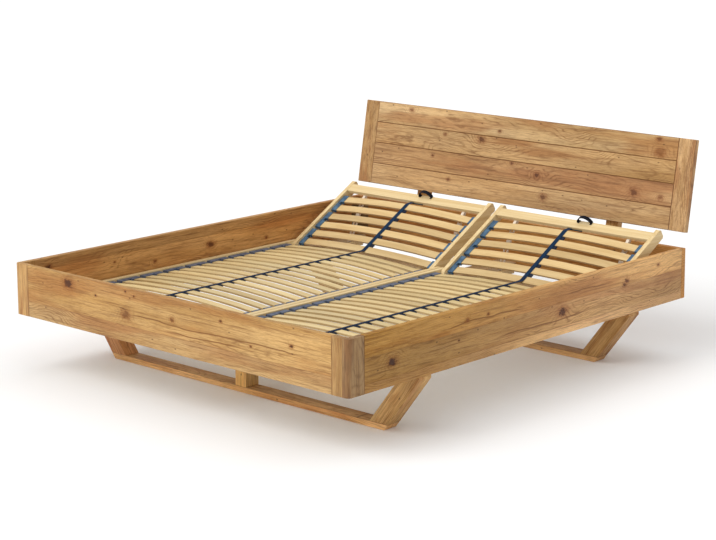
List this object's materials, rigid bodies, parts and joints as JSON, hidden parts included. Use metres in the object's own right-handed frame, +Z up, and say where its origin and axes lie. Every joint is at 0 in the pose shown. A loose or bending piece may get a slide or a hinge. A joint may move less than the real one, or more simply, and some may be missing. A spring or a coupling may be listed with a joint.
{
  "type": "floating double bed with sled legs",
  "caption": "Low oak double bed on set-back sled legs with a leaning plank headboard and slatted bases whose head sections tip up on ratchet stays.",
  "frame": {"origin": "on the floor, in the middle of the box round the whole bed", "axes": "+X across the bed to its right side seen from the foot, +Y along it from the foot to the head, +Z up"},
  "size_m": [1.885, 2.1822, 0.905],
  "materials": {
    "oak": "oiled",
    "pine": "plain",
    "birch": "satin",
    "rubber": "matt",
    "webbing": "woven",
    "steel": "galvanised"
  },
  "bodies": {
    "frame": {"side_rail_left": "oak", "side_rail_right": "oak", "foot_board": "oak", "head_end_board": "oak", "foot_corner_left": "oak", "foot_corner_right": "oak", "corner_angles": "steel", "side_cleat_left": "pine", "side_cleat_right": "pine", "centre_beam": "pine", "headboard_stile_left": "oak", "headboard_stile_right": "oak", "headboard_bracket_left": "oak", "headboard_bracket_right": "oak", "bracket_bolts": "steel", "headboard_plank_1": "oak", "headboard_plank_2": "oak", "headboard_plank_3": "oak", "headboard_plank_4": "oak", "front_runner": "oak", "front_leg_left": "oak", "front_leg_right": "oak", "front_centre_block": "oak", "front_cross_beam": "pine", "rear_runner": "oak", "rear_leg_left": "oak", "rear_leg_right": "oak", "rear_centre_block": "oak", "rear_cross_beam": "pine", "left_base_side_rails": "pine", "left_base_cross_rails": "pine", "left_slats": "birch", "left_caps": "rubber", "left_belt": "webbing", "left_hinge_bolts": "steel", "left_ratchet_tracks": "steel", "right_base_side_rails": "pine", "right_base_cross_rails": "pine", "right_slats": "birch", "right_caps": "rubber", "right_belt": "webbing", "right_hinge_bolts": "steel", "right_ratchet_tracks": "steel"},
    "left_head_section": {"left_head_side_rails": "pine", "left_head_cross_rail": "pine", "left_head_slats": "birch", "left_head_caps": "rubber", "left_head_belt": "webbing", "left_pull_loop": "webbing", "left_stay_saddles": "steel"},
    "right_head_section": {"right_head_side_rails": "pine", "right_head_cross_rail": "pine", "right_head_slats": "birch", "right_head_caps": "rubber", "right_head_belt": "webbing", "right_pull_loop": "webbing", "right_stay_saddles": "steel"},
    "left_stays": {"left_stays": "steel"},
    "right_stays": {"right_stays": "steel"}
  },
  "joints": [
    {"name": "left_head_hinge", "type": "hinge", "parent": "frame", "child": "left_head_section", "pos_m": [-0.4555, 0.48851, 0.2845], "axis": [1, 0, 0], "range_deg": [-29.87, 1.5]},
    {"name": "left_stay_hinge", "type": "hinge", "parent": "left_head_section", "child": "left_stays", "pos_m": [-0.4555, 0.81587, 0.45867], "axis": [1, 0, 0], "range_deg": [-35.6, 1.8]},
    {"name": "right_head_hinge", "type": "hinge", "parent": "frame", "child": "right_head_section", "pos_m": [0.4555, 0.48851, 0.2845], "axis": [1, 0, 0], "range_deg": [-29.87, 1.5]},
    {"name": "right_stay_hinge", "type": "hinge", "parent": "right_head_section", "child": "right_stays", "pos_m": [0.4555, 0.81587, 0.45867], "axis": [1, 0, 0], "range_deg": [-35.6, 1.8]}
  ],
  "couplings": [
    {"joint": "left_stay_hinge", "follows": "left_head_hinge", "ratio": 1.1895},
    {"joint": "right_stay_hinge", "follows": "right_head_hinge", "ratio": 1.1895}
  ]
}
